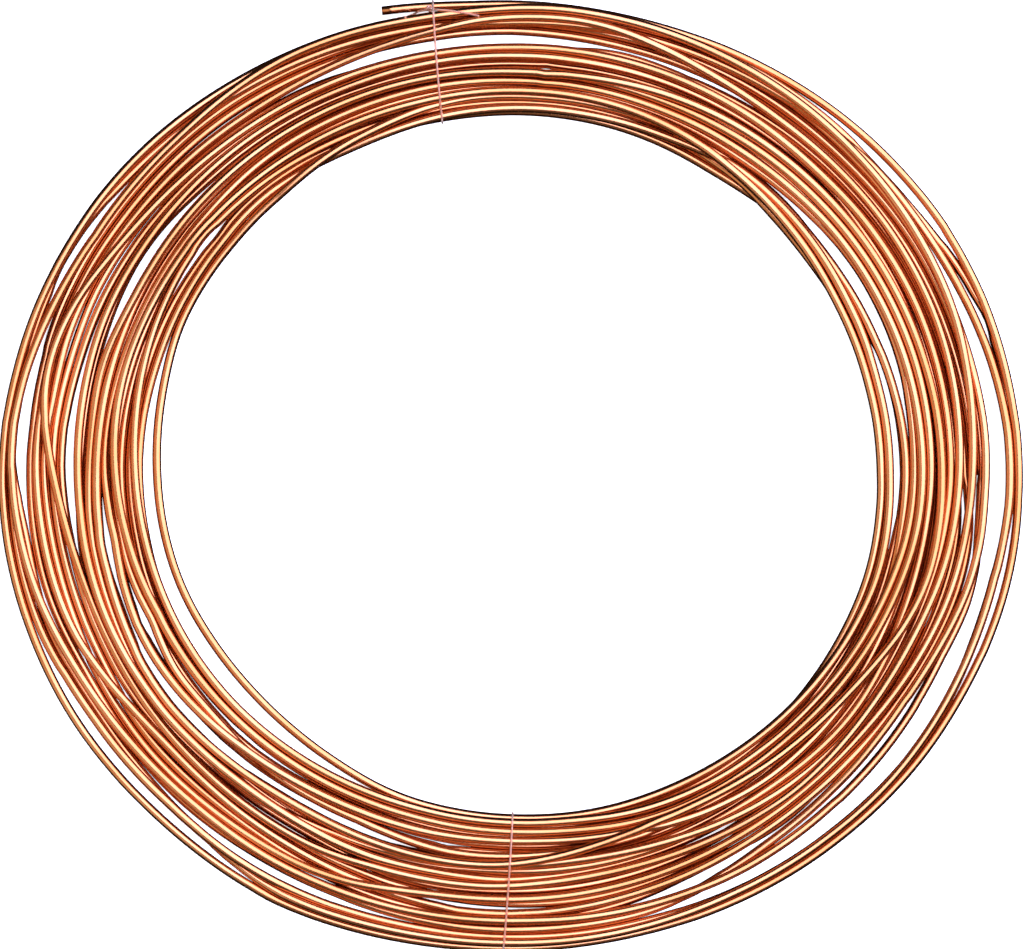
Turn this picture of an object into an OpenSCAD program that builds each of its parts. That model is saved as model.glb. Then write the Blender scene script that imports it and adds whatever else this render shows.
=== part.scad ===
// A coil of bare round copper wire, lying flat and held by two ties of nylon line.
// Millimetres, +Z up. The origin is on the surface that the coil lies on, under its middle.

/* [Wire] */
// Diameter of the bare wire
wire_d = 1; // [0.7:0.05:1.4]

/* [Bundled turns] */
// Clear diameter inside the bundled turns
bore_d = 81; // [60:0.5:120]
// Turns side by side in the bottom row
bottom_turns = 10; // [9:1:14]
// Rows of turns, one on another
row_count = 3; // [2:1:3]
// Turns that each row has fewer than the row under it, always an odd number
row_step = 3; // [1:2:3]
// Gap between neighbouring turns in a row
turn_gap = 0.22; // [0.05:0.01:0.4]

/* [Loose turns] */
// How far the loose turns swing out past the bundle on the right
right_swing = 4.1; // [2.5:0.1:6]
// Loose turns side by side on the right
right_turns = 2; // [1:1:3]
// How far the loose turn swings out past the bundle on the left
left_swing = 4.1; // [2.5:0.1:6]
// How far the innermost turn stands into the bore
inner_swing = 3.5; // [1.5:0.1:4]
// Direction in which the innermost turn stands into the bore
inner_angle = 200; // [195:1:210]

/* [Free end] */
// Direction of the wire's cut end, from the middle of the coil
end_angle = 105; // [103:0.5:110]
// How far the cut end stands out past the bundle
end_reach = 1.7; // [0.8:0.1:3]
// Length of wire that can be seen to lie over the bundle, up to the cut end
end_length = 22; // [18:0.5:26]

/* [Ties] */
// Diameter of the nylon line
line_d = 0.25; // [0.15:0.01:0.4]
// Clearance of the line round the wire
line_fit = 0.05; // [0.02:0.01:0.07]
// Direction of the tie by the wire's end
end_tie_angle = 100; // [96:0.5:101]
// Direction of the tie on the opposite side
far_tie_angle = 270; // [262:1:275]
// Diameter of the knot
knot_d = 0.9; // [0.7:0.05:1.2]
// Length of the longer tail of line at the knot
long_tail = 4.5; // [2:0.1:6]
// Length of the shorter tail
short_tail = 2; // [1:0.1:3]

/* [Hidden] */
$fn = 72;
line_sides = 10;
knot_fn = 24;
knot_place = 0.25;
tail_lift = 0.1;

wire_r = wire_d / 2;
line_r = line_d / 2;
pitch = wire_d + turn_gap;
row_rise = sqrt(wire_d * wire_d - pitch * pitch / 4);

// The bundle stands on the line that runs under it.
underside = line_d + line_fit;
inner_r = bore_d / 2 + wire_r;
outer_r = inner_r + (bottom_turns - 1) * pitch;
middle_r = (inner_r + outer_r) / 2;

function turns_in(row) = bottom_turns - row * row_step;
function row_z(row) = underside + wire_r + row * row_rise;
function row_start(row) = middle_r - (turns_in(row) - 1) * pitch / 2;
function row_end(row) = middle_r + (turns_in(row) - 1) * pitch / 2;
top_row = row_count - 1;

// A loose turn is a circle off the coil's axis. It lies on the floor in its own direction,
// and on the other side it has climbed to the second row, in the middle of the bundle.
// Each one is [direction, radius there, radius on the other side, height on the other side].
loose_turns = concat(
    [for (i = [0 : right_turns - 1])
        [0, outer_r + right_swing - i * pitch, middle_r - i * pitch, row_z(1)]],
    [[180, outer_r + left_swing, middle_r - pitch, row_z(1)],
     [inner_angle, inner_r - inner_swing, middle_r, row_z(1)]]);

function loop_r(t) = (t[1] + t[2]) / 2;
function loop_shift(t) = (t[1] - t[2]) / 2;
function loop_tilt(t) = asin((t[3] - wire_r) / (2 * loop_r(t)));

// Where a loose turn passes through the upright half-plane in direction a: [radius, height].
function loop_at(t, a) =
    let (shift = loop_shift(t), off = a - t[0],
         r = shift * cos(off) + sqrt(pow(loop_r(t), 2) - pow(shift * sin(off), 2)))
    [r, wire_r + (t[1] - r * cos(off)) * tan(loop_tilt(t))];

// The free end is straight. It starts inside the bundle and its cut end stands out of it.
end_tip_r = outer_r + end_reach;
end_tip = [end_tip_r * cos(end_angle), end_tip_r * sin(end_angle), row_z(1)];
end_bed_r = middle_r + 2 * pitch;
end_turn_back = 2 * asin(end_length / (end_tip_r + end_bed_r));
end_bed_angle = end_angle - end_turn_back;
end_bed = [end_bed_r * cos(end_bed_angle), end_bed_r * sin(end_bed_angle), row_z(0) + row_rise / 2];

// Where the free end passes through the half-plane in direction a.
function end_at(a) =
    let (run = end_tip - end_bed,
         s = (end_bed[0] * sin(a) - end_bed[1] * cos(a)) / (run[1] * cos(a) - run[0] * sin(a)),
         p = end_bed + s * run)
    [norm([p[0], p[1]]), p[2]];

// Corners of the tight loop round a set of points, counter-clockwise from the innermost.
function turn_of(a, b, c) = (b[0] - a[0]) * (c[1] - a[1]) - (b[1] - a[1]) * (c[0] - a[0]);
function next_corner(points, from) =
    let (others = [for (p = points) if (norm(p - from) > line_r / 10) p],
         outermost = [for (p = others)
            if (min([for (q = others) turn_of(from, p, q)]) > -line_r / 100) p],
         far = max([for (p = outermost) norm(p - from)]))
    [for (p = outermost) if (norm(p - from) == far) p][0];
function corners_from(points, start, path) =
    let (next = next_corner(points, path[len(path) - 1]))
    norm(next - start) < line_r / 10 ? path : corners_from(points, start, concat(path, [next]));
function tight_loop(points) =
    let (least = min([for (p = points) p[0]]),
         start = [for (p = points) if (p[0] == least) p][0])
    corners_from(points, start, [start]);

// All the wires' centres in direction a that a tie has to go round.
function wires_in(a, with_end) = concat(
    [for (row = [0 : top_row]) each [[row_start(row), row_z(row)], [row_end(row), row_z(row)]]],
    [for (t = loose_turns) loop_at(t, a)],
    with_end ? [end_at(a)] : []);

module turns_section() {
    for (row = [0 : top_row])
        for (i = [0 : turns_in(row) - 1])
            translate([row_start(row) + i * pitch, row_z(row)])
                circle(d = wire_d);
    polygon([
        [row_start(0), row_z(0)], [row_end(0), row_z(0)],
        [row_end(top_row), row_z(top_row)], [row_start(top_row), row_z(top_row)]]);
}

module loose_turn(t) {
    height = (t[3] + wire_r) / 2;
    rotate([0, 0, t[0]])
        translate([loop_shift(t), 0, height])
            rotate([0, loop_tilt(t), 0])
                rotate_extrude()
                    translate([loop_r(t), 0])
                        circle(d = wire_d);
}

// A straight round rod between two points.
module rod(from, to, d, sides) {
    run = to - from;
    translate(from)
        rotate([0, acos(run[2] / norm(run)), atan2(run[1], run[0])])
            cylinder(d = d, h = norm(run), $fn = sides);
}

module wire_coil() {
    color("#c8662c") {
        rotate_extrude()
            turns_section();
        for (t = loose_turns)
            loose_turn(t);
        rod(end_bed, end_tip, wire_d, $fn);
    }
}

// The line's own path: an arc round each corner wire, with straight runs between.
bend_r = wire_r + line_fit + line_r;
bend_step = 20;
function heading(from, to) = atan2(to[1] - from[1], to[0] - from[0]);
function line_path(corners) =
    let (count = len(corners))
    [for (i = [0 : count - 1])
        let (here = corners[i],
             before = heading(corners[(i + count - 1) % count], here) - 90,
             bend = (heading(here, corners[(i + 1) % count]) - 90 - before + 720) % 360,
             steps = max(1, ceil(bend / bend_step)))
        for (k = [0 : steps])
            let (a = before + bend * k / steps)
            here + bend_r * [cos(a), sin(a)]];

// A closed round tube along a path in the XZ plane, as one solid.
module closed_tube(path, d, sides) {
    count = len(path);
    points = [for (k = [0 : count - 1])
        let (way = heading(path[(k + count - 1) % count], path[(k + 1) % count]),
             side = [sin(way), -cos(way)])
        for (j = [0 : sides - 1])
            let (a = 360 * j / sides, across = d / 2 * cos(a))
            [path[k][0] + side[0] * across, d / 2 * sin(a), path[k][1] + side[1] * across]];
    faces = [for (k = [0 : count - 1]) for (j = [0 : sides - 1])
        let (on = (j + 1) % sides, next = (k + 1) % count)
        each [
            [k * sides + j, next * sides + j, next * sides + on],
            [k * sides + j, next * sides + on, k * sides + on]]];
    polyhedron(points, faces);
}

// One tie: the loop round the bundle, its knot on the outer slope, and the knot's two tails.
module tie(angle, with_end) {
    corners = [for (c = tight_loop(wires_in(angle, with_end))) c - [middle_r, 0]];
    top = [row_end(top_row) - middle_r, row_z(top_row)];
    after = [for (i = [1 : len(corners) - 1]) if (norm(corners[i] - top) < line_r / 10) i][0];
    slope = heading(corners[after - 1], corners[after]) - 90;
    outward = [cos(slope), 0, sin(slope)];
    knot_seat = corners[after - 1] + knot_place * (corners[after] - corners[after - 1]);
    knot = [knot_seat[0], 0, knot_seat[1]] + (wire_r + line_fit + knot_d / 2) * outward;
    color("#e8e0d4")
        rotate([0, 0, angle])
            translate([middle_r, 0, 0]) {
                closed_tube(line_path(corners), line_d, line_sides);
                translate(knot)
                    sphere(d = knot_d, $fn = knot_fn);
                for (tail = [[1, short_tail], [-1, long_tail]])
                    rod(knot, knot + tail[1] * [0, tail[0], tail_lift],
                        line_d, knot_fn);
            }
}

wire_coil();
tie(end_tie_angle, true);  // nylon_tie_by_end
tie(far_tie_angle, false);  // nylon_tie_opposite
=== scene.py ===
import bpy
import math
import numpy as np
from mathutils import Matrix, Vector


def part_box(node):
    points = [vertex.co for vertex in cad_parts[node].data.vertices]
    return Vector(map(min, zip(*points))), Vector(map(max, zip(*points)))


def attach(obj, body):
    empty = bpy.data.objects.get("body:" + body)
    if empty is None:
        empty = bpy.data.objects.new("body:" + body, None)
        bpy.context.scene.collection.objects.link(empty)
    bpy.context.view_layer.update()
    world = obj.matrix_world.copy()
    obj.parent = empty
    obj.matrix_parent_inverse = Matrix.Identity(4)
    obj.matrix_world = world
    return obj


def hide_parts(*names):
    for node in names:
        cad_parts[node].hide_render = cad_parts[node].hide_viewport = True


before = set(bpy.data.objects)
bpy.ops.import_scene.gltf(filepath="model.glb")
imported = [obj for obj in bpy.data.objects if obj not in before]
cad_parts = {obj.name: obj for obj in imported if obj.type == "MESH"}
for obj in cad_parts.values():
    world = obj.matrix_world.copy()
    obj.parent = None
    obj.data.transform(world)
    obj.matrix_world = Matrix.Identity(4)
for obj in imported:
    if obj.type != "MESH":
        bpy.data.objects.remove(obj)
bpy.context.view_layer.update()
bpy.ops.object.select_all(action="DESELECT")
mm = 0.001


# ---------------------------------------------------------------------------------------------
# The camera. It hangs straight over the middle of the coil and looks down on it, and its view
# is just wide enough for the whole coil.

view_width = 113.6 * mm
camera_height = 800 * mm
sensor_width = 36.0
view_x = 0.05 * mm
view_y = 0.10 * mm
coil_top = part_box("wire_coil")[1][2]
bpy.ops.object.camera_add(location=(view_x, view_y, camera_height), rotation=(0, 0, 0))
camera = bpy.context.object
camera.name = "camera_overhead"
camera.data.sensor_width = sensor_width
camera.data.lens = sensor_width * (camera_height - coil_top) / view_width
camera.data.clip_start = 0.01
bpy.context.scene.camera = camera


# ---------------------------------------------------------------------------------------------
# The wire. One length of bare copper, drawn to 1 mm, wound by hand into 25 turns and a bit.
# It starts buried on the floor of the coil, and its last turn ends in a cut that stands out on
# the outside. Its turns lie on and across each other, in strands with slits between them.

wire_d = 1.0
wire_r = wire_d / 2
stations = 300
circle = 360

# The row that lies on the floor: (direction, its middle radius, half its width).
floor_row = [
    (0, 46.7, 5.2), (25, 46.6, 5.3), (45, 46.1, 4.8), (65, 45.2, 4.2), (85, 44.7, 3.8),
    (105, 44.9, 4.0), (125, 46.0, 4.9), (150, 47.2, 5.7), (180, 47.3, 5.4), (200, 46.6, 5.3),
    (220, 45.7, 5.3), (240, 45.0, 5.4), (255, 45.0, 5.7), (270, 45.1, 5.8), (290, 45.3, 5.5),
    (310, 45.6, 4.8), (330, 46.1, 4.6), (345, 46.5, 4.8)]


def floor_turn(share, next_share):
    """A hidden turn of the floor row, which works its way inwards as it goes round."""
    return [(a, middle + half * (share + (next_share - share) * a / circle), 0)
            for a, middle, half in floor_row]


# Each turn is the bends that it was wound with, as (direction, radius, storey). The storey says
# which of two crossing turns lies on the other. Each turn runs on into the next one.
turns = [
    # the first turn, which starts on the floor and climbs over its neighbours on the left
    [(0, 51.7, 0.2), (30, 50.7, 0.2), (60, 50, 0.2), (80, 49.6, 0.3), (100, 49.7, 0.3),
     (114, 50.4, 0.4), (129, 51.4, 0.6), (144, 52, 0.6), (161, 53.1, 0.8), (170, 53.2, 1.2),
     (179, 52.9, 2.4), (184, 52.7, 2.8), (189, 52.5, 3), (196, 52.1, 3), (200, 51.7, 3),
     (204, 50.9, 3), (209, 49.9, 3), (214, 49, 2.2), (219, 48.3, 1.2), (226, 48, 0.5),
     (240, 48.1, 0.3), (252, 48.5, 0.3), (262, 48.9, 0.6), (272, 48.9, 0.9), (284, 48.6, 1),
     (295, 48.5, 1), (304, 48.4, 1), (314, 48.6, 1), (326, 49.4, 1), (336, 50.4, 1), (345, 51.4, 0.9),
     (352, 51.75, 0.6), (356, 51.5, 0.4)],
    # three turns on the floor, each further in
    [(0, 50.9, 0), (30, 50.2, 0), (45, 49.6, 0), (60, 48.4, 0), (68, 48.2, 0), (74, 48.5, 0),
     (78, 48.3, 0), (83, 47.7, 0), (90, 47.4, 0), (105, 47.5, 0), (119, 48.7, 0), (125, 48.9, 0),
     (140, 50.2, 0.1), (155, 50.9, 0.2), (165, 50.7, 0.3), (173, 50.9, 0.3), (179, 50.7, 0.2),
     (186, 50.6, 0.1), (191, 50.5, 0.1), (195, 50.4, 0.1), (200, 50, 0.1), (204, 49.7, 0.1),
     (209, 49.8, 0), (214, 49.9, 0), (219, 49.7, 0), (225, 49.3, 0), (232, 48.9, 0), (240, 48.6, 0),
     (255, 48.4, 0), (270, 48.9, 0), (280, 48.8, 0), (292, 48.3, 0), (301, 48.4, 0), (308, 49.3, 0.1),
     (313, 49.3, 0.1), (318, 49.2, 0.1), (330, 49.4, 0.2), (345, 50.1, 0.1), (352, 50.4, 0)],
    [(0, 49.6, 0), (30, 49.2, 0), (45, 48.7, 0), (65, 47.6, 0.4), (80, 47.3, 0.7), (110, 47.4, 0.7),
     (125, 48.2, 0.3), (140, 48.7, 0.1), (150, 49.1, 0), (158, 49.5, 0), (166, 49.6, 0),
     (171, 49.9, 0), (176, 50, 0), (180, 50, 0), (186, 49.6, 0), (190, 49.3, 0), (196, 49.1, 0),
     (204, 48.9, 0), (212, 48.5, 0), (220, 47.8, 0), (240, 47.4, 0), (255, 47.3, 0), (262, 47.4, 0.1),
     (270, 47.5, 0.2), (280, 47.9, 0.4), (292, 47.9, 0.4), (302, 47.6, 0.2), (312, 47.5, 0),
     (330, 48, 0), (337, 48.4, 0), (345, 48.6, 0)],
    [(0, 48.6, 0), (30, 48.1, 0), (45, 47.6, 0.2), (56, 46.9, 0.5), (65, 46.4, 0.7), (76, 46.1, 0.6),
     (89, 46.1, 0.5), (104, 46, 0.5), (119, 45.9, 0.5), (129, 46.2, 0.5), (134, 46.5, 0.4),
     (139, 46.9, 0.3), (145, 47.8, 0.2), (152, 48, 0.1), (160, 47.8, 0), (166, 47.6, 0),
     (180, 47.3, 0), (186, 47.8, 0), (191, 48.2, 0), (197, 48.1, 0), (204, 47.7, 0), (214, 47, 0),
     (225, 46.2, 0), (240, 45.8, 0), (247, 46.2, 0), (255, 46.8, 0), (262, 46.6, 0), (270, 46.4, 0),
     (290, 46.5, 0), (310, 46.6, 0), (330, 47, 0), (345, 47.4, 0)],
    # a second-row turn that comes up on the left
    [(0, 47.6, 0.3), (40, 48, 0.6), (60, 47.5, 0.8), (79, 47, 0.9), (100, 46.9, 0.9),
     (112, 46.9, 0.9), (121, 47.2, 1.2), (129, 47.5, 1.5), (139, 47.8, 1.8), (159, 48.5, 2.2),
     (174, 48.3, 2.4), (184, 48, 2.4), (199, 47.6, 2.4), (204, 47.3, 2.4), (214, 46.5, 2.4),
     (224, 45.8, 2.4), (229, 45.4, 2.2), (242, 44.9, 1.6), (250, 45.05, 1.5), (262, 44.3, 1.2),
     (272, 44.2, 1), (285, 44.3, 0.9), (320, 45.4, 0.9)],
    # three hidden turns and one that shows through the slits, still on the floor
    floor_turn(-0.03, -0.25),
    floor_turn(-0.25, -0.45),
    floor_turn(-0.45, -0.64),
    [(0, 43.7, 0), (20, 43.1, 0), (40, 42.5, 0), (60, 42.1, 0), (80, 41.9, 0), (100, 41.9, 0),
     (115, 42.3, 0), (130, 42.7, 0), (136, 42.9, 0), (143, 42.4, 0), (150, 42.2, 0), (165, 42.3, 0),
     (180, 42.5, 0), (192, 42.4, 0), (202, 42.1, 0), (215, 41.5, 0), (230, 40.6, 0), (245, 40, 0),
     (260, 40.1, 0), (280, 40.5, 0), (300, 41.1, 0), (320, 41.6, 0), (340, 42.2, 0)],
    # the turn that comes up at the inner edge
    [(0, 42.4, 0.2), (30, 42.3, 0.2), (60, 42.1, 0.1), (90, 42, 0), (104, 41.9, 0.2),
     (111, 41.7, 0.5), (118, 41.9, 0.8), (124, 42.3, 0.9), (134, 42.8, 1.1), (149, 43.3, 1.4),
     (159, 42.9, 1.7), (169, 42.4, 1.9), (179, 41.9, 1.9), (189, 41.4, 1.9), (204, 40.8, 1.9),
     (219, 40.1, 1.9), (234, 39.3, 1.9), (244, 38.8, 1.9), (254, 38.5, 1.9), (266, 38.5, 1.9),
     (279, 38.8, 1.9), (289, 39.7, 1.9), (299, 40.4, 1.9), (309, 41.1, 1.7), (324, 42.1, 1.7),
     (334, 43.1, 1.7), (344, 43.9, 1.7), (354, 44.6, 1.7)],
    # a turn mostly under the inner strand
    [(0, 44.7, 1.5), (9, 44.8, 1.1), (19, 44.9, 0.9), (29, 44.7, 0.7), (39, 44.1, 0.6),
     (54, 43.2, 0.4), (70, 43.1, 0.3), (90, 43.3, 0.3), (110, 43.5, 0.5), (150, 43.9, 0.9),
     (180, 44.2, 0.9), (190, 43.9, 0.7), (195, 43.8, 0.6), (200, 43.2, 0.6), (204, 42.9, 0.5),
     (207, 43.4, 0.5), (211, 43.4, 0.5), (215, 42.7, 0.4), (230, 42.3, 0.3), (240, 42, 0.3),
     (249, 42, 0.3), (254, 42.3, 0.3), (260, 42.6, 0.2), (270, 42.6, 0.2), (285, 42.2, 0.4),
     (300, 42.3, 0.8), (330, 43, 1)],
    # the stray turn that hangs into the bore on the left
    [(0, 43.9, 1.3), (8, 43.7, 1.3), (19, 43.1, 1.3), (29, 42.8, 1.2), (40, 42.7, 1.1), (46, 42.9, 1),
     (52, 42.8, 1), (64, 42.8, 0.9), (80, 42.9, 0.9), (95, 42.8, 1), (104, 42.1, 1.2),
     (109, 41.7, 1.2), (114, 41.4, 1.2), (119, 41.2, 1.1), (129, 40.9, 0.8), (139, 40.7, 0.5),
     (151, 40.7, 0.4), (156, 40.7, 0.4), (164, 40.1, 0.3), (179, 39.5, 0.3), (189, 39.2, 0.3),
     (199, 38.8, 0.3), (209, 38.1, 0.3), (219, 37.6, 0.3), (229, 37.4, 0.3), (239, 37.5, 0.3),
     (249, 38, 0.4), (265, 38.3, 1.2), (284, 38.8, 1.4), (294, 39.1, 1.3), (304, 39.6, 1.2),
     (314, 40.2, 1.1), (324, 40.8, 1.1), (334, 41.5, 1.2), (344, 42.2, 1.3), (352, 42.2, 1.4)],
    # the inner edge on the right
    [(0, 42.1, 1.5), (14, 42.1, 1.5), (34, 42.4, 1.5), (54, 42.3, 1.3), (64, 41.3, 1.1),
     (79, 40.9, 1), (95, 40.8, 1), (104, 40.8, 0.7), (115, 40.9, 0.4), (122, 41.3, 0.5),
     (129, 41.6, 0.8), (134, 41.8, 0.9), (139, 41.6, 1), (146, 41.7, 1), (154, 41.7, 1.1),
     (162, 41.6, 1), (172, 41.8, 0.9), (186, 41.8, 0.7), (197, 41.6, 0.6), (204, 41.4, 0.5),
     (212, 41, 0.5), (219, 40.6, 0.5), (240, 39.5, 0.6), (270, 39.3, 0.8), (300, 40.4, 1),
     (320, 40.8, 1), (334, 41.2, 1), (344, 41.7, 1), (354, 41.5, 1.2)],
    # the turn that lies over the inner strand all round
    [(0, 41.5, 1.6), (9, 41.4, 1.8), (19, 41.1, 2), (29, 41, 2.2), (44, 41.4, 2.4), (54, 41.9, 2.6),
     (64, 42.4, 2.6), (74, 42.7, 2.6), (104, 42.7, 2.6), (124, 43.2, 2.6), (144, 43.8, 2.6),
     (154, 44.2, 2.6), (164, 44.5, 2.6), (174, 44.4, 2.6), (184, 43.8, 2.6), (194, 43, 2.6),
     (204, 42.1, 2.6), (214, 41.4, 2.6), (224, 40.7, 2.5), (234, 40.1, 2.4), (244, 39.7, 2.4),
     (256, 39.3, 2.4), (269, 39.4, 2.4), (279, 39.9, 2.4), (289, 40.9, 2.4), (296, 41.3, 2.4),
     (304, 41.7, 2.4), (314, 42.2, 2.4), (324, 43, 2.4), (334, 43.8, 2.4), (344, 44.5, 2.4),
     (354, 45.4, 2.4)],
    # the one in the middle of the inner strand
    [(0, 45.6, 2.2), (9, 45.7, 2.1), (19, 45.7, 2), (27, 45.4, 2), (34, 45.1, 2), (44, 44.5, 2),
     (54, 44.1, 1.9), (69, 43.9, 1.7), (89, 43.9, 1.6), (114, 44.2, 1.7), (129, 44.6, 1.9),
     (141, 44.2, 1.9), (155, 44.4, 1.9), (169, 45.2, 1.9), (179, 45.5, 1.9), (186, 44.7, 1.9),
     (194, 44.9, 1.9), (204, 44.8, 1.9), (214, 43.9, 1.9), (224, 42.6, 1.9), (239, 41.4, 1.9),
     (249, 40.9, 1.9), (264, 40.6, 1.9), (274, 40.7, 1.9), (286, 41.5, 1.8), (299, 42.9, 1.6),
     (309, 44, 1.6), (323, 44.7, 1.6), (342, 44.8, 1.4)],
    # the one under that
    [(0, 46, 1), (20, 46.2, 1), (40, 44.8, 1), (75, 44.7, 0.6), (90, 44.7, 0.5), (105, 44.8, 0.5),
     (120, 45, 0.7), (140, 45.2, 0.9), (160, 45.4, 0.9), (183, 46, 0.9), (190, 46.2, 0.9),
     (195, 45.9, 0.9), (199, 45.4, 0.9), (205, 45.6, 0.9), (210, 45.3, 0.9), (218, 44.8, 0.7),
     (228, 44.5, 0.5), (240, 44.2, 0.5), (254, 44.1, 0.5), (270, 43.8, 1), (290, 44.1, 1.2),
     (304, 44.9, 1.5), (314, 45.8, 1.6), (323, 46.5, 1.6), (341, 46.1, 1.6), (352, 46.2, 1.7)],
    # the turn that crosses the bundle at the bottom
    [(0, 46.3, 1.8), (8, 46.3, 1.8), (24, 46.1, 1.8), (34, 45.9, 1.8), (44, 45.6, 1.8),
     (54, 45.1, 1.8), (64, 44.7, 1.7), (74, 44.5, 1.4), (84, 44.4, 1.1), (96, 44.4, 1),
     (110, 44.7, 1.1), (140, 45.4, 1.4), (162, 46.2, 1.8), (170, 46.3, 2.4), (179, 46.2, 3),
     (194, 46.1, 3.2), (204, 46.1, 3.2), (209, 46.1, 3.2), (214, 45.8, 3.2), (219, 45.3, 3.2),
     (224, 44.8, 3.2), (229, 44.3, 3.2), (234, 43.9, 3.2), (240, 43.6, 3.2), (259, 43.5, 3.2),
     (269, 43.3, 3.2), (279, 42.4, 3.2), (284, 42, 3.2), (291, 41.7, 3.2), (299, 41.8, 3.2),
     (309, 42.5, 3.2), (319, 43.5, 3.2), (329, 44.7, 3.2), (334, 45.7, 3.2), (339, 46.7, 3.2),
     (344, 47.5, 3.1), (350, 47.9, 2.8)],
    # the turn beside that
    [(0, 47.8, 2.5), (9, 47.7, 2.3), (19, 47.3, 2.2), (39, 46.6, 2.2), (59, 46, 2.2), (69, 45.4, 2.2),
     (79, 44.9, 2.2), (89, 44.8, 2.2), (99, 45, 2.2), (129, 45.7, 2.2), (144, 46, 2.2),
     (159, 46.2, 2.2), (164, 46.9, 2.1), (169, 46.6, 2.1), (174, 46.5, 2.1), (179, 46.7, 2),
     (188, 47.3, 1.9), (194, 47.2, 1.9), (202, 46.8, 1.8), (215, 46, 1.7), (230, 45.2, 1.6),
     (250, 44, 1.6), (265, 43.3, 1.6), (276, 43.2, 1.8), (284, 43.5, 2), (294, 44.2, 2),
     (304, 45.2, 2), (311, 46, 1.9), (325, 47, 1.7), (345, 48.2, 1.8)],
    # the turn that crosses outwards at the upper left
    [(0, 48.8, 2.2), (14, 48.8, 2.3), (24, 48.7, 2.4), (34, 48.2, 2.5), (44, 47.7, 2.6),
     (59, 47.7, 2.6), (79, 47.6, 2.6), (99, 47.8, 2.6), (119, 48.2, 2.6), (129, 48.6, 2.6),
     (139, 49.3, 2.7), (149, 50.4, 2.8), (154, 51.3, 2.9), (159, 52.3, 3), (166, 53, 3),
     (171, 52.8, 3), (179, 51.1, 2.9), (184, 50.2, 2.8), (194, 48.9, 2.7), (204, 48.2, 2.6),
     (214, 47.8, 2.6), (234, 47, 2.6), (244, 46.7, 2.5), (249, 46, 2.5), (255, 45.8, 2.5),
     (261, 45.6, 2.5), (264, 45.5, 2.5), (279, 45.2, 2.5), (289, 45.5, 2.5), (299, 46.1, 2.5),
     (309, 46.7, 2.5), (329, 47.4, 2.5), (339, 48, 2.5), (349, 49.1, 2.5)],
    # the turn that it crosses
    [(0, 49.7, 2.4), (9, 50.1, 2.3), (19, 50.3, 2.2), (34, 50, 2.2), (54, 49.4, 2.2), (64, 49.7, 2.2),
     (74, 50.7, 2.1), (79, 51.1, 2.1), (85, 51.3, 2.2), (94, 50.8, 2.1), (104, 49.9, 2),
     (114, 49.6, 2), (124, 49.6, 2), (134, 50.1, 2), (144, 50.6, 1.9), (154, 51.6, 1.8),
     (164, 52.2, 1.7), (172, 52.2, 1.6), (180, 52.1, 1.6), (189, 51.5, 1.6), (194, 51.3, 1.6),
     (199, 51.1, 1.4), (204, 51.2, 1), (209, 51, 0.8), (214, 51, 0.7), (219, 50.6, 0.8),
     (224, 50.2, 1), (230, 49.8, 1.2), (236, 49.5, 1.4), (244, 49.1, 1.4), (250, 48.4, 1.5),
     (257, 47.4, 1.7), (264, 47.2, 1.9), (284, 47.1, 2.1), (304, 47.4, 2.2), (314, 47.8, 2.2),
     (324, 48.3, 2.2), (334, 49.3, 2.2), (344, 50.4, 2.3), (349, 50.7, 2.4), (354, 50.95, 2.4)],
    # the turn that lies over the outer strand all round
    [(0, 51.2, 2.6), (9, 51.7, 2.8), (19, 52.4, 3), (34, 52.4, 3), (54, 52.2, 3), (84, 51.9, 3),
     (92, 51.6, 3), (101, 51.6, 3), (109, 52.2, 3), (119, 52.8, 3), (134, 52.7, 3), (149, 53.3, 3),
     (159, 54.2, 3), (169, 55.3, 3), (176, 55.6, 3), (184, 55.3, 3), (194, 54.4, 3), (204, 52.9, 3),
     (214, 51.8, 3), (229, 50.5, 3), (249, 49.9, 3), (269, 49.2, 3), (284, 49.9, 3), (304, 50.8, 3),
     (319, 51.4, 2.9), (334, 51.8, 2.7), (347, 53, 2.4), (353, 52.2, 1.8), (359, 52, 1.8)],
    # the one under that, which comes over it on the right
    [(0, 52.1, 1.6), (12, 52.1, 1.4), (30, 51.6, 1.1), (44, 51.1, 0.9), (60, 50.9, 0.4),
     (75, 50.6, 0.3), (92, 50.5, 0.3), (104, 50.8, 0.4), (114, 51.4, 0.7), (130, 52, 1.2),
     (150, 52.8, 1.2), (170, 54, 1), (180, 53.8, 0.9), (189, 53.6, 0.8), (196, 53.2, 0.8),
     (200, 52.6, 0.8), (204, 52.1, 0.9), (212, 51.8, 1.1), (222, 51.6, 1.2), (229, 51.2, 1.2),
     (234, 50.9, 1.1), (239, 50.7, 1.1), (249, 50.5, 1.1), (264, 50.3, 1.1), (279, 50.7, 1.2),
     (284, 50.9, 1.3), (289, 50.9, 1.3), (294, 50.6, 1.2), (299, 50.1, 1.2), (304, 49.8, 1.3),
     (310, 49.8, 1.5), (318, 49.8, 1.8), (325, 50, 2.3), (332, 50.5, 2.8), (339, 51.3, 3),
     (344, 52.1, 3.1), (349, 52.6, 3.1)],
    # the first of three turns that swing out on the right and on the left
    [(0, 52.9, 2.8), (9, 52.9, 2.2), (16, 52.4, 1.7), (35, 51.9, 1.6), (61, 51.8, 0.6),
     (75, 51.6, 0.5), (92, 51.5, 0.5), (104, 51.7, 0.6), (120, 52, 0.9), (140, 53.6, 1.3),
     (155, 54.8, 1.2), (168, 55.5, 1), (176, 55.6, 0.9), (181, 55.2, 0.8), (185, 54.4, 0.7),
     (190, 54.2, 0.6), (194, 54.4, 0.5), (199, 54.3, 0.5), (204, 53.7, 0.4), (209, 53.1, 0.3),
     (214, 52.9, 0.3), (219, 52.8, 0.2), (226, 52.75, 0.2), (232, 52.6, 0.3), (236, 52.65, 0.5),
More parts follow.
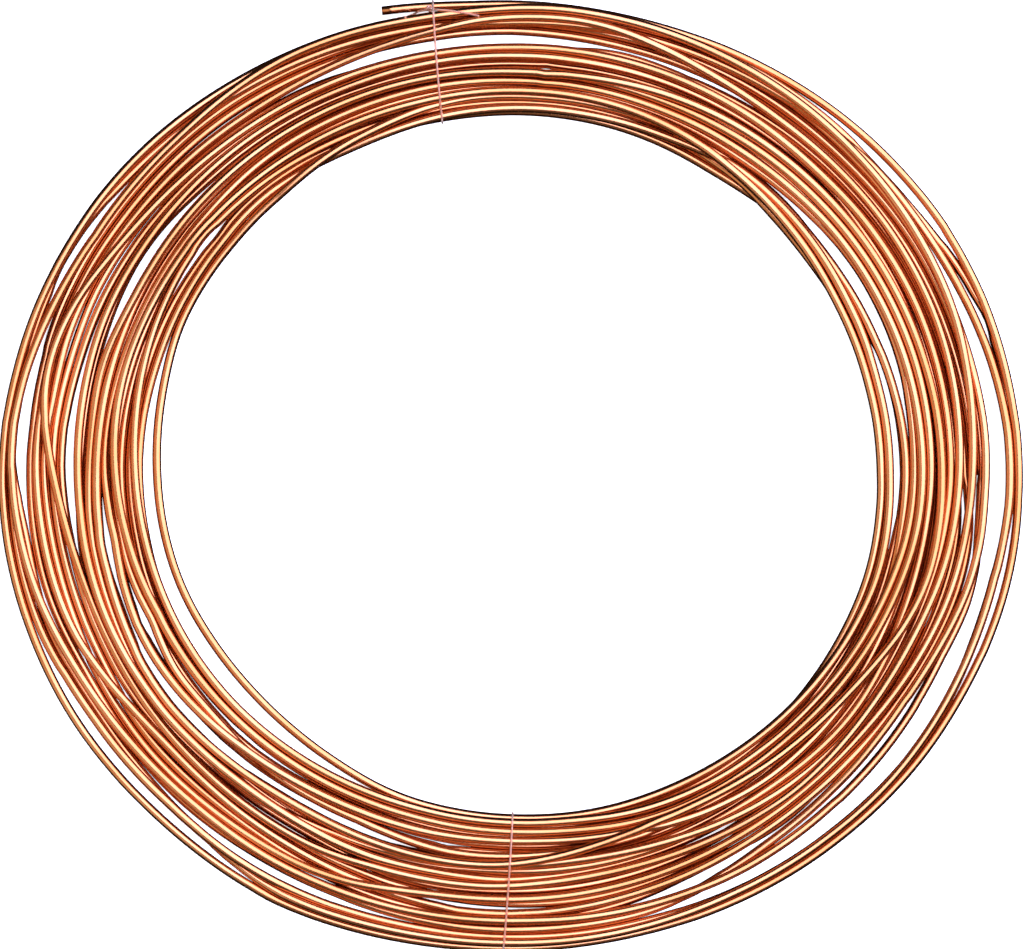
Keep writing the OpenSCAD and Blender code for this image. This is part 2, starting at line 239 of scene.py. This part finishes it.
     (241, 52.75, 0.9), (246, 52.55, 1.3), (252, 52.3, 1.8), (260, 52, 2.2), (269, 51.9, 2.4),
     (284, 52.1, 2.3), (299, 52.5, 2.3), (309, 53.1, 2.3), (319, 54, 2.3), (329, 54.4, 2.3),
     (344, 54.8, 2.2), (354, 55.2, 2.1)],
    # the second of them
    [(0, 55.4, 2), (9, 55.1, 2), (19, 54.2, 2), (29, 53.3, 1.9), (39, 52.6, 1.7), (60, 51.4, 1.4),
     (75, 50.7, 1.2), (92, 50.3, 1.2), (104, 50.7, 1.2), (120, 51.9, 1.3), (140, 53.6, 1.6),
     (155, 54.9, 1.7), (169, 55.4, 1.6), (179, 55.7, 1.6), (189, 55.8, 1.6), (199, 55.2, 1.6),
     (200, 55.1, 1.5), (207, 53.9, 1.4), (214, 53.4, 1.2), (219, 53.1, 1.1), (224, 52.65, 1.2),
     (229, 52.4, 1.1), (234, 52.2, 1), (240, 51.95, 0.9), (246, 51.75, 0.8), (254, 51.3, 0.7),
     (269, 50.9, 0.8), (284, 51.3, 0.9), (300, 52.1, 1.2), (312, 53.4, 1.4), (324, 54.6, 1.4),
     (334, 54.8, 1.3), (343, 54.7, 1.2), (350, 55.1, 1.3)],
    # the third
    [(0, 55.8, 1.4), (15, 55.6, 1.4), (22, 55.1, 1.4), (31, 53.9, 1.4), (38, 52.9, 1.4),
     (50, 52.4, 1.5), (60, 52.2, 1.5), (75, 51.5, 1.3), (92, 51.2, 1.3), (102, 51.6, 1.4),
     (112, 52.3, 1.6), (124, 53.2, 1.8), (139, 54.5, 2), (154, 55.3, 2), (164, 55.8, 2),
     (174, 56, 1.9), (184, 56.3, 1.9), (199, 56, 1.9), (209, 55.6, 1.7), (209, 55.6, 1.9),
     (224, 54.4, 1.2), (234, 53.8, 0.6), (239, 53.5, 0.5), (249, 52.8, 0.5), (259, 52.3, 0.6),
     (269, 52.1, 0.7), (284, 52.3, 1), (299, 52.9, 1.7), (309, 53.7, 1.8), (324, 54.8, 1.9),
     (334, 55.5, 2), (344, 56.2, 2), (352, 56.4, 2)],
    # the last turn, up to the cut end
    [(0, 56.2, 2), (19, 55.8, 2), (29, 55.4, 2), (44, 54.4, 2), (59, 53.2, 1.6), (69, 52.5, 1.5),
     (79, 52.1, 1.5), (84, 52, 1.5), (89, 51.95, 1.6), (94, 52.15, 1.7),
     (99, 52.7, 1.9), (105.6, 53.65, 2)]]


# Slits that stay open down to the floor, as (direction, middle radius, half width).
slits = [
    [(289, 51.3, 0), (292, 51.35, 0.3), (300, 51.7, 0.5), (310, 52.15, 0.65), (319, 52.45, 0.75),
     (330, 52.95, 0.8), (337, 53.15, 0.8), (344, 53.6, 0.5), (350, 53.8, 0.7), (357, 54, 0.9),
     (365, 54.1, 0.8), (374, 53.65, 0.65), (380, 53.3, 0.45), (387, 52.9, 0)],
    [(374, 55.5, 0), (378, 55.2, 0.25), (384, 54.7, 0)],
    [(386, 55, 0), (390, 54.7, 0.3), (394, 54.3, 0.4), (400, 53.8, 0.35), (407, 53.2, 0)],
    [(334, 55, 0), (339, 55.3, 0.2), (348, 55.6, 0.25), (353, 55.8, 0)],
    [(369, 44.4, 0), (374, 44.3, 0.35), (380, 44.15, 0.5), (390, 43.85, 0.6), (395, 43.65, 0.55),
     (400, 43.4, 0.35), (404, 43.3, 0)],
    [(347, 42.9, 0), (352, 42.85, 0.15), (360, 42.85, 0.35), (369, 42.8, 0.3), (374, 42.7, 0.3),
     (380, 42.6, 0.15), (382, 42.6, 0)],
    [(61, 48.6, 0), (66, 48.8, 0.2), (71, 49, 0)],
    [(78, 48.1, 0), (84, 48.45, 0.35), (90, 48.5, 0.5), (99, 48.55, 0.5), (105, 48.6, 0.42),
     (110, 48.65, 0.3), (117, 48.8, 0)],
    [(80, 45.3, 0), (85, 45.3, 0.2), (91, 45.3, 0)],
    [(142, 53.6, 0), (150, 54.2, 0.4), (155, 54.7, 0.3), (160, 55, 0)],
    [(162, 53.9, 0), (168, 54.2, 0.35), (174, 54.5, 0.6), (179, 54.6, 0.5), (183, 54.5, 0)],
    [(140, 46.7, 0), (144, 46.9, 0.3), (150, 47.1, 0.45), (155, 47.2, 0.4), (161, 47.4, 0)],
    [(137, 42.4, 0), (142, 42.7, 0.35), (147, 42.9, 0)],
    [(169, 49.3, 0), (174, 49.35, 0.3), (179, 49.25, 0.42), (184, 49.1, 0.25), (190, 48.8, 0)],
    [(185, 45.5, 0), (189, 45.45, 0.4), (193, 45.45, 0.25), (196, 45.4, 0)],
    [(201, 45.4, 0), (206, 45.45, 0.25), (214, 45.05, 0.25), (219, 44.45, 0.35), (225, 43.8, 0.4),
     (234, 43.15, 0.25), (240, 42.85, 0.3), (246, 42.7, 0.35), (252, 42.8, 0.2), (257, 42.9, 0)],
    [(197, 44, 0), (202, 43.9, 0.45), (206, 43.7, 0)],
    [(216, 42, 0), (224, 41.6, 0.25), (230, 41.35, 0.15), (237, 41.2, 0)],
    [(201, 55.3, 0), (204, 55.05, 0.25), (210, 54.6, 0.4), (219, 54, 0.45), (224, 53.6, 0.4),
     (230, 53.35, 0.22), (235, 53.05, 0)],
    [(219, 52.3, 0), (226, 52, 0.15), (234, 51.7, 0.3), (240, 51.45, 0.35), (247, 51.15, 0.3),
     (254, 50.9, 0)],
    [(259, 48, 0), (262, 48.1, 0.2), (270, 48.25, 0.15), (275, 48.3, 0)],
    [(254, 41.6, 0), (260, 41.7, 0.18), (266, 41.65, 0)],
    [(287, 49.5, 0), (293, 49.4, 0.35), (299, 49.3, 0.4), (303, 49.2, 0.25), (305, 49.2, 0)],
    [(311, 50.6, 0), (316, 50.6, 0.22), (324, 50.8, 0.28), (330, 51, 0.22), (334, 51.15, 0)],
    [(161, 41, 0), (179, 40.6, 0.4), (199, 39.8, 0.5), (219, 38.8, 0.6), (236, 38.4, 0.2),
     (244, 38.2, 0)]]


# The ties run under the coil, and hold it just clear of the floor on either side of them.
tie_directions = (100, 270)
tie_lift = 0.27
tie_lift_reach = 25
station_angle = circle / stations


def evened(values, reach):
    """The values with each one evened out over its neighbours along the wire."""
    weights = np.hanning(2 * reach + 3)[1:-1]
    before = 2 * values[0] - values[reach:0:-1]
    after = 2 * values[-1] - values[-2:-reach - 2:-1]
    return np.convolve(np.concatenate([before, values, after]), weights / weights.sum(), "valid")


def wound_turns():
    """The radius and the storey that each station of the wire was wound with."""
    bends = [(circle * i + a, r, storey) for i, bent in enumerate(turns) for a, r, storey in bent]
    along, radii, storeys = np.array(bends).T
    at = np.arange(int(along[-1] / station_angle) + 1) * station_angle
    radius = evened(evened(np.interp(at, along, radii), 4), 4)
    return radius, evened(np.interp(at, along, storeys), 3)


def open_slits():
    """Each slit's stations with its middle and half width there, cut in two at direction 0."""
    pieces = []
    for slit in slits:
        along, middles, halves = np.array(slit).T
        k = np.arange(math.ceil(along[0] / station_angle), int(along[-1] / station_angle) + 1)
        for part in (k[k < stations], k[k >= stations]):
            if len(part):
                a = part * station_angle
                pieces.append((part % stations, np.interp(a, along, middles),
                               np.interp(a, along, halves)))
    return pieces


def settled_wire():
    """The turns let down on the floor: they push each other aside, and bend only so sharply."""
    wound, storey = wound_turns()
    count = len(wound)
    rows = math.ceil(count / stations)

    def by_turn(values, rest):
        grid = np.full(rows * stations, rest, float)
        grid[:count] = values
        return grid.reshape(rows, stations)

    # The wire is let down from high up, fast at first, and then it is left to come to rest.
    storey_rise = 3.0
    steps = 900
    fast_steps = 540
    last_steps = 300
    slits_from = 60
    slit_reach = 2.5
    slit_push = 0.35
    turn_push = 0.45
    far_away = 500
    stiff_reach = 8
    firm_hold = 0.096
    slack_hold = 0.004
    directions = np.arange(stations) * station_angle
    lift = sum(np.exp(-((directions - a) / tie_lift_reach) ** 2) for a in tie_directions)
    floor = wire_r + tie_lift * np.resize(lift, rows * stations)[:count]
    z = wire_r + storey_rise * storey + 0.02 * np.arange(count) / stations
    r = wound.copy()
    # The turns on top keep to where they were laid, and the hidden ones make room for them.
    pull = slack_hold + firm_hold * np.clip((storey - 0.3) / 1.7, 0, 1)
    one, other = np.triu_indices(rows, 1)
    shares = np.zeros((rows, len(one)))
    shares[other, np.arange(len(one))] = 1
    shares[one, np.arange(len(one))] = -1
    # Of two turns, the one with the higher storey stays over the other.
    above = by_turn(storey, 0)[other] - by_turn(storey, 0)[one]
    keep_over = 0.6 * np.clip(np.abs(above) / 0.25, 0, 1)
    places = by_turn(wound, 0)
    open_parts = []
    for k, middle, half in open_slits():
        widest = int(np.argmax(half))
        side = np.where(places[:, k[widest]] > middle[widest], 1.0, -1.0)[:, None]
        open_parts.append((k, middle, half + wire_r * np.minimum(1, half / 0.2), side))
    for step in range(steps + last_steps):
        settling = step < steps
        if settling:
            z -= 0.03 if step < fast_steps else 0.006
        else:
            z -= 0.002
        r += pull * (wound - r) * (1 if settling else 0.15)
        across, up = by_turn(r, far_away), by_turn(z, 0)
        dr, dz = across[other] - across[one], up[other] - up[one]
        apart = np.hypot(dr, dz)
        dz = np.where(above >= 0, np.maximum(dz, keep_over), np.minimum(dz, -keep_over))
        push = turn_push * np.clip(wire_d - apart, 0, None) / (np.hypot(dr, dz) + 1e-9)
        across += shares @ (push * dr)
        up += shares @ (push * dz)
        if step > slits_from:
            for k, middle, half, side in open_parts:
                off = across[:, k] - middle
                short = np.where(np.abs(off) < slit_reach, np.minimum(side * off - half, 0), 0)
                across[:, k] -= slit_push * short * side
        r, z = across.reshape(-1)[:count], up.reshape(-1)[:count]
        if step % 2 == 0 or not settling:
            share = 0.6 if settling else 0.12
            off = r - wound
            r = wound + (1 - share) * off + share * evened(off, stiff_reach)
            z = (1 - share) * z + share * evened(z, stiff_reach)
        z = np.maximum(z, floor)
    return r, z


radius, height = settled_wire()
# The wire is stiff, so its cut end stands out level and doesn't droop off the turns under it.
free_end = 14
height[-free_end:] = np.maximum(height[-free_end:], height[-free_end - 1])
height[-3 * free_end:] = evened(height[-3 * free_end:], 6)
direction = np.radians(np.arange(len(radius)) * station_angle)
wire_path = mm * np.column_stack([radius * np.cos(direction), radius * np.sin(direction), height])


def tube(name, path, thick, sides, closed=False):
    """A round tube along a path, with its length along V and its girth along U."""
    count = len(path)
    if closed:
        ahead, behind = np.roll(path, -1, 0), np.roll(path, 1, 0)
    else:
        ahead, behind = np.vstack([path[1:], path[-1:]]), np.vstack([path[:1], path[:-1]])
    way = ahead - behind
    way /= np.linalg.norm(way, axis=1)[:, None]
    side = np.cross(way, (0, 0, 1))
    if closed:
        side = np.tile(np.cross(way[0], way[count // 4]), (count, 1))
    side /= np.linalg.norm(side, axis=1)[:, None]
    upward = np.cross(side, way)
    turn_a = 2 * np.pi * np.arange(sides) / sides - np.pi / 2
    rings = path[:, None] + thick / 2 * (np.cos(turn_a)[None, :, None] * side[:, None]
                                         + np.sin(turn_a)[None, :, None] * upward[:, None])
    verts = rings.reshape(-1, 3)
    ring, j = np.meshgrid(np.arange(count if closed else count - 1), np.arange(sides), indexing="ij")
    nxt, on = (ring + 1) % count, (j + 1) % sides
    quads = np.stack([ring * sides + j, ring * sides + on, nxt * sides + on, nxt * sides + j], -1)
    quads = quads.reshape(-1, 4)
    length = np.concatenate([[0], np.cumsum(np.linalg.norm(np.diff(path, axis=0), axis=1))])
    if closed:
        length = np.append(length, length[-1] + np.linalg.norm(path[0] - path[-1]))
    u0, u1 = j / sides, (j + 1) / sides
    v0, v1 = length[ring], length[ring + 1]
    uv = np.stack([u0, v0, u1, v0, u1, v1, u0, v1], -1).reshape(-1, 2)
    faces = quads.tolist()
    if not closed:
        faces.append(list(range(sides))[::-1])
        faces.append([(count - 1) * sides + k for k in range(sides)])
        uv = np.vstack([uv, np.tile([0.5, 0], (sides, 1)), np.tile([0.5, length[-1]], (sides, 1))])
    mesh = bpy.data.meshes.new(name)
    mesh.from_pydata(verts.tolist(), [], faces)
    mesh.uv_layers.new(name="UVMap").uv.foreach_set("vector", uv.astype(np.float32).ravel())
    flat_ends = 0 if closed else 2
    smooth = [True] * (len(faces) - flat_ends) + [False] * flat_ends
    mesh.polygons.foreach_set("use_smooth", smooth)
    mesh.update()
    piece = bpy.data.objects.new(name, mesh)
    bpy.context.collection.objects.link(piece)
    return piece


wire_sides = 12
wire = tube("bare_copper_wire", wire_path, wire_d * mm, wire_sides)


class Varying:
    """A number that changes over a surface. Sums on it become Math nodes."""

    def __init__(self, nodes, socket):
        self.nodes = nodes
        self.socket = socket

    def sum_with(self, operation, first, second):
        return self.nodes.add("ShaderNodeMath", {"operation": operation}, {0: first, 1: second})

    def __add__(self, other):
        return self.sum_with("ADD", self, other)

    def __radd__(self, other):
        return self.sum_with("ADD", other, self)

    def __mul__(self, other):
        return self.sum_with("MULTIPLY", self, other)

    def __rmul__(self, other):
        return self.sum_with("MULTIPLY", other, self)


class Finish:
    """A material, and one way to add any node to it."""

    def __init__(self, name):
        self.material = bpy.data.materials.new(name)
        self.material.use_nodes = True
        self.tree = self.material.node_tree
        self.shader = self.tree.nodes["Principled BSDF"]

    def add(self, kind, settings=None, inputs=None, output=0):
        node = self.tree.nodes.new(kind)
        for key, value in (settings or {}).items():
            setattr(node, key, value)
        for key, value in (inputs or {}).items():
            self.feed(node.inputs[key], value)
        return Varying(self, node.outputs[output])

    def feed(self, socket, value):
        if isinstance(value, Varying):
            self.tree.links.new(value.socket, socket)
        else:
            socket.default_value = value

    def blend(self, factor, first, second):
        """Mixes two colours."""
        node = self.tree.nodes.new("ShaderNodeMix")
        node.data_type = "RGBA"
        self.feed(node.inputs[0], factor)
        self.feed(node.inputs[6], first)
        self.feed(node.inputs[7], second)
        return Varying(self, node.outputs[2])


# Copper straight from the drawing die: bright, with fine lines along it, and here and there a
# redder stretch where it has been handled and has begun to oxidise.
copper = Finish("drawn_copper")
object_output = 3
uv_output = 2
place = copper.add("ShaderNodeTexCoord", output=object_output)
along_wire = copper.add("ShaderNodeTexCoord", output=uv_output)
patches = copper.add("ShaderNodeTexNoise", {}, {
    "Vector": place, "Scale": 60.0, "Detail": 3.0, "Roughness": 0.6})
lines_place = copper.add("ShaderNodeMapping", {}, {"Vector": along_wire, "Scale": (3.0, 9.0, 1.0)})
lines = copper.add("ShaderNodeTexNoise", {}, {
    "Vector": lines_place, "Scale": 3.0, "Detail": 4.0, "Roughness": 0.65})
stretch_place = copper.add("ShaderNodeMapping", {}, {"Vector": along_wire, "Scale": (0.6, 25.0, 1.0)})
stretches = copper.add("ShaderNodeTexNoise", {}, {
    "Vector": stretch_place, "Scale": 1.0, "Detail": 2.0, "Roughness": 0.5})
bright = (0.56, 0.235, 0.105, 1)
handled = (0.48, 0.17, 0.055, 1)
pale = (0.63, 0.335, 0.18, 1)
tarnish = copper.add("ShaderNodeMapRange", {}, {
    "Value": patches * 0.5 + stretches * 0.5, "From Min": 0.42, "From Max": 0.62})
colour = copper.blend(tarnish, bright, handled)
light_lines = copper.add("ShaderNodeMapRange", {}, {
    "Value": lines, "From Min": 0.5, "From Max": 0.75, "To Max": 0.15})
colour = copper.blend(light_lines, colour, pale)
rough = 0.18 + 0.05 * tarnish + 0.02 * lines
bump = copper.add("ShaderNodeBump", {}, {"Strength": 0.008, "Distance": 0.00002, "Height": lines})
copper.feed(copper.shader.inputs["Base Color"], colour)
copper.feed(copper.shader.inputs["Roughness"], rough)
copper.feed(copper.shader.inputs["Normal"], bump)
copper.shader.inputs["Metallic"].default_value = 1.0
copper.shader.inputs["Specular Tint"].default_value = (1.0, 0.62, 0.45, 1)
wire.data.materials.append(copper.material)

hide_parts("wire_coil")
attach(wire, "root")


# ---------------------------------------------------------------------------------------------
# The ties. Each is a length of thin clear nylon line, drawn tight round all the turns and
# knotted on the outside of the coil, with the two tails of the line left on.

line_d = 0.22
line_fit = 0.02
line_sides = 8
knot_d = 0.9


def turns_at(ends):
    """The wire's sections, as (distance, height), in the upright plane of a tie."""
    (near_r, near_a), (far_r, far_a) = ends
    sections = []
    for i in range(len(turns)):
        a = (near_a + far_a) / 2
        for _ in range(3):
            k = (i * circle + a) / station_angle
            if k > len(radius) - 1:
                break
            r = np.interp(k, np.arange(len(radius)), radius)
            a = near_a + (far_a - near_a) * (r - near_r) / (far_r - near_r)
        else:
            sections.append((r, float(np.interp(k, np.arange(len(height)), height))))
    return sections


def tight_loop(sections, reach):
    """The shortest closed line round all the sections, as a ring of even steps."""
    rim = [(r + reach * math.cos(t), z + reach * math.sin(t))
           for r, z in sections for t in np.linspace(0, 2 * math.pi, 36, endpoint=False)]
    rim.sort()
    hull = []
    for points in (rim, rim[::-1]):
        chain = []
        for p in points:
            while len(chain) > 1 and ((chain[-1][0] - chain[-2][0]) * (p[1] - chain[-2][1])
                                      <= (chain[-1][1] - chain[-2][1]) * (p[0] - chain[-2][0])):
                chain.pop()
            chain.append(p)
        hull += chain[:-1]
    hull = np.array(hull + hull[:1])
    along = np.concatenate([[0], np.cumsum(np.linalg.norm(np.diff(hull, axis=0), axis=1))])
    steps = np.linspace(0, along[-1], 160, endpoint=False)
    return np.column_stack([np.interp(steps, along, hull[:, 0]), np.interp(steps, along, hull[:, 1])])


def tie_plane(loop, ends):
    """The loop's points set upright along the line that the tie lies on, in metres."""
    (near_r, near_a), (far_r, far_a) = ends
    a = np.radians(near_a + (far_a - near_a) * (loop[:, 0] - near_r) / (far_r - near_r))
    return mm * np.column_stack([loop[:, 0] * np.cos(a), loop[:, 0] * np.sin(a), loop[:, 1]])


def resting_height(x, y):
    """How high the line lies where it crosses the turns at a place."""
    reach = (wire_d + line_d) / 2
    k = (math.degrees(math.atan2(y, x)) % circle + circle * np.arange(len(turns))) / station_angle
    k = k[k < len(radius) - 1]
    each = np.arange(len(radius))
    off = math.hypot(x, y) - np.interp(k, each, radius)
    tops = np.interp(k, each, height) + np.sqrt(np.clip(reach ** 2 - off ** 2, 0, None))
    return max(line_d / 2, float(np.max(np.where(np.abs(off) < reach, tops, 0))))


def knotted_tails(name, short_tail, knot, long_tail):
    """Both tails and the tight overhand knot between them, from points as (x, y, height)."""
    t = np.linspace(0.3, 2 * math.pi - 0.3, 48)
    size = (knot_d - line_d) / 6
    coil = size * np.column_stack([np.sin(t) + 2 * np.sin(2 * t), np.cos(t) - 2 * np.cos(2 * t),
                                   -np.sin(3 * t)])
    drawn = []
    for bends in (np.array(short_tail), np.array(long_tail)):
        steps = np.linspace(0, len(bends) - 1, 12 * len(bends))
        drawn.append(np.column_stack([np.interp(steps, np.arange(len(bends)), b) for b in bends.T]))
    path = np.vstack([drawn[0], np.array(knot) + coil, drawn[1]])
    for column in range(3):
        path[:, column] = evened(path[:, column], 1)
    return tube(name, mm * path, line_d * mm, line_sides)


# Clear nylon whose base colour is painted copper, a painted reflection of the turns; it whitens a
# little where it was strained.
nylon = Finish("clear_nylon")
on_line = nylon.add("ShaderNodeTexCoord", output=object_output)
drawn_marks = nylon.add("ShaderNodeTexNoise", {}, {
    "Vector": on_line, "Scale": 700.0, "Detail": 2.0, "Roughness": 0.5})
# Both colours are painted copper: a painted reflection of the wire in the clear line, the strained
# one whitened a little.
painted_copper_reflection = (0.78, 0.37, 0.24, 1)
strained_painted_copper_reflection = (0.80, 0.42, 0.29, 1)
whitened = nylon.add("ShaderNodeMapRange", {}, {
    "Value": drawn_marks, "From Min": 0.45, "From Max": 0.7})
line_bump = nylon.add("ShaderNodeBump", {}, {
    "Strength": 0.1, "Distance": 0.00001, "Height": drawn_marks})
nylon.feed(nylon.shader.inputs["Base Color"], nylon.blend(whitened, painted_copper_reflection, strained_painted_copper_reflection))
nylon.feed(nylon.shader.inputs["Roughness"], 0.2 + 0.2 * drawn_marks)
nylon.feed(nylon.shader.inputs["Normal"], line_bump)
nylon.shader.inputs["Specular IOR Level"].default_value = 0.35
nylon.shader.inputs["IOR"].default_value = 1.53
nylon.shader.inputs["Transmission Weight"].default_value = 0.8

# Where each tie lies, as (radius, direction) at its inner and outer side, and the points of its
# tails and knot. The first tie's tails lie along the cut end, the other's hang on the outside.
knot_lift = 0.3
end_knot = (-9.06, 51.9)
end_short = [(-11.8, 50.8), (-11.0, 51.3), (-10.3, 51.6)]
end_long = [(-8.0, 51.65), (-6.6, 51.5), (-5.0, 51.25), (-3.6, 50.95)]
far_reach = 52.9
tie_ends = {"nylon_tie_by_end": ((40.7, 101.0), (52.8, 99.5)),
            "nylon_tie_opposite": ((40.0, 270.0), (51.6, 269.1))}
tails = {
    "nylon_tie_by_end": (
        [(x, y, resting_height(x, y)) for x, y in end_short],
        (*end_knot, resting_height(*end_knot) + knot_lift),
        [(x, y, resting_height(x, y)) for x, y in end_long]),
    "nylon_tie_opposite": (
        [(-3.2, -52.6, 0.15), (-2.4, -52.7, 0.3), (-1.7, -far_reach, 0.6)],
        (-0.9, -far_reach, 0.9),
        [(0.0, -far_reach, 0.5), (1.4, -52.7, 0.2), (3.4, -52.5, 0.12)])}
for node_name, ends in tie_ends.items():
    loop = tight_loop(turns_at(ends), wire_r + line_fit + line_d / 2)
    ring = tie_plane(loop, ends)
    piece_name = node_name.replace("nylon_tie", "nylon_line")
    piece = tube(piece_name, ring, line_d * mm, line_sides, closed=True)
    knot = knotted_tails("tails_and_knot", *tails[node_name])
    bpy.ops.object.select_all(action="DESELECT")
    knot.select_set(True)
    piece.select_set(True)
    bpy.context.view_layer.objects.active = piece
    bpy.ops.object.join()
    piece.select_set(False)
    piece.data.materials.append(nylon.material)
    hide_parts(node_name)
    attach(piece, "root")


# ---------------------------------------------------------------------------------------------
# The studio: a white table that glows through, as a light table does, a large soft light to the
# upper right that reaches from low down to overhead, and two weaker panels close by, one on the
# left and one below.

bpy.ops.mesh.primitive_plane_add(size=4, location=(0, 0, 0))
table = bpy.context.object
table.name = "white_table"
paper = Finish("white_paper")
paper.shader.inputs["Base Color"].default_value = (0.9, 0.9, 0.9, 1)
paper.shader.inputs["Roughness"].default_value = 0.9
paper.shader.inputs["Specular IOR Level"].default_value = 0.1
paper.shader.inputs["Emission Color"].default_value = (1, 1, 1, 1)
paper.shader.inputs["Emission Strength"].default_value = 0.75
table.data.materials.append(paper.material)
table.visible_glossy = False


def soft_light(name, azimuth, elevation, distance, width, depth, radiance, colour):
    """A flat panel that faces the middle of the coil, with its power worked out from its size."""
    a, e = math.radians(azimuth), math.radians(elevation)
    place = (distance * math.cos(e) * math.cos(a), distance * math.cos(e) * math.sin(a),
             distance * math.sin(e))
    bpy.ops.object.light_add(type="AREA", location=place, rotation=(0, math.pi / 2 - e, a))
    lamp = bpy.context.object
    lamp.name = name
    lamp.data.shape = "RECTANGLE"
    lamp.data.size = depth
    lamp.data.size_y = width
    lamp.data.energy = radiance * math.pi * width * depth
    lamp.data.color = colour


soft_light("key_light", azimuth=28, elevation=55, distance=1.0, width=1.5, depth=2.0,
           radiance=4.7, colour=(0.95, 1.0, 1.42))
soft_light("left_fill", azimuth=192, elevation=36, distance=0.6, width=0.7, depth=0.7,
           radiance=1.15, colour=(1.0, 0.92, 0.8))
soft_light("lower_fill", azimuth=262, elevation=38, distance=0.8, width=1.1, depth=0.7,
           radiance=0.2, colour=(1.0, 0.88, 0.72))
world = bpy.data.worlds.new("studio")
bpy.context.scene.world = world
world.use_nodes = True
backdrop = world.node_tree.nodes["Background"]
backdrop.inputs["Color"].default_value = (1.0, 0.8, 0.6, 1)
backdrop.inputs["Strength"].default_value = 0.02
bpy.context.scene.view_settings.view_transform = "Standard"
